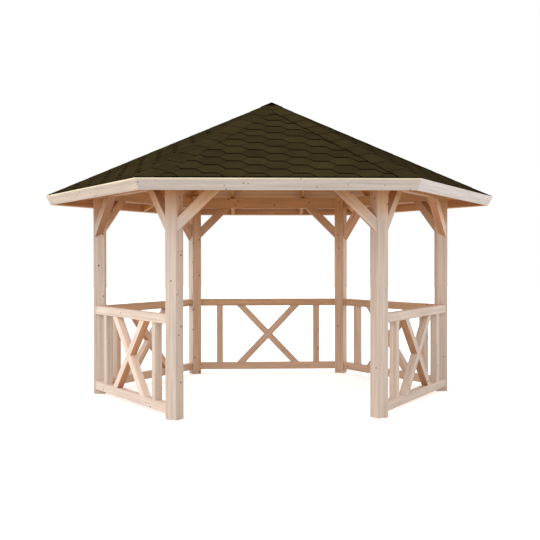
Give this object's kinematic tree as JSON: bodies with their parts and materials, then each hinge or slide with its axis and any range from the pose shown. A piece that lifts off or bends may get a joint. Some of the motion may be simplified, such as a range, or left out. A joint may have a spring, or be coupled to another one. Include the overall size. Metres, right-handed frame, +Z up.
{
  "type": "garden gazebo",
  "caption": "Hexagonal open timber gazebo: square posts, knee-braced beams, cross railings round all bays but the entrance, and a shingled pyramid roof.",
  "frame": {"origin": "middle of the hexagonal plan, on the ground under the posts", "axes": "+Z up; two posts stand on the X axis, so X runs across the corners; the open entrance bay faces -Y"},
  "size_m": [5.0976, 4.4148, 3.3028],
  "materials": {
    "posts": "planed natural spruce, squared and arrised",
    "frame_timber": "planed natural spruce",
    "railing_timber": "planed natural spruce",
    "fascia_boards": "planed natural spruce boards",
    "roof_timber": "planed natural spruce",
    "roof_boards": "tongued and grooved spruce boards",
    "shingles": "mineral-surfaced bitumen shingles, hexagonal tabs, olive brown",
    "zinc_screws": "zinc-plated countersunk screw heads at the joints",
    "cap_felt": "mineral-surfaced bitumen strips, olive brown"
  },
  "bodies": {
    "root": {"post_right": "posts", "post_back_right": "posts", "post_back_left": "posts", "post_left": "posts", "post_front_left": "posts", "post_front_right": "posts", "beam_back_right": "frame_timber", "beam_back": "frame_timber", "beam_back_left": "frame_timber", "beam_front_left": "frame_timber", "beam_front": "frame_timber", "beam_front_right": "frame_timber", "knee_braces_back_right": "frame_timber", "knee_braces_back": "frame_timber", "knee_braces_back_left": "frame_timber", "knee_braces_front_left": "frame_timber", "knee_braces_front": "frame_timber", "knee_braces_front_right": "frame_timber", "railing_back_right": "railing_timber", "railing_back": "railing_timber", "railing_back_left": "railing_timber", "railing_front_left": "railing_timber", "railing_front_right": "railing_timber", "fascia_back_right": "fascia_boards", "fascia_back": "fascia_boards", "fascia_back_left": "fascia_boards", "fascia_front_left": "fascia_boards", "fascia_front": "fascia_boards", "fascia_front_right": "fascia_boards", "roof_boards_back_right": "roof_boards", "roof_boards_back": "roof_boards", "roof_boards_back_left": "roof_boards", "roof_boards_front_left": "roof_boards", "roof_boards_front": "roof_boards", "roof_boards_front_right": "roof_boards", "shingles_back_right": "shingles", "shingles_back": "shingles", "shingles_back_left": "shingles", "shingles_front_left": "shingles", "shingles_front": "shingles", "shingles_front_right": "shingles", "hip_rafters": "roof_timber", "jack_rafters": "roof_timber", "apex_hub": "roof_timber", "ridge_caps": "cap_felt"}
  },
  "joints": []
}
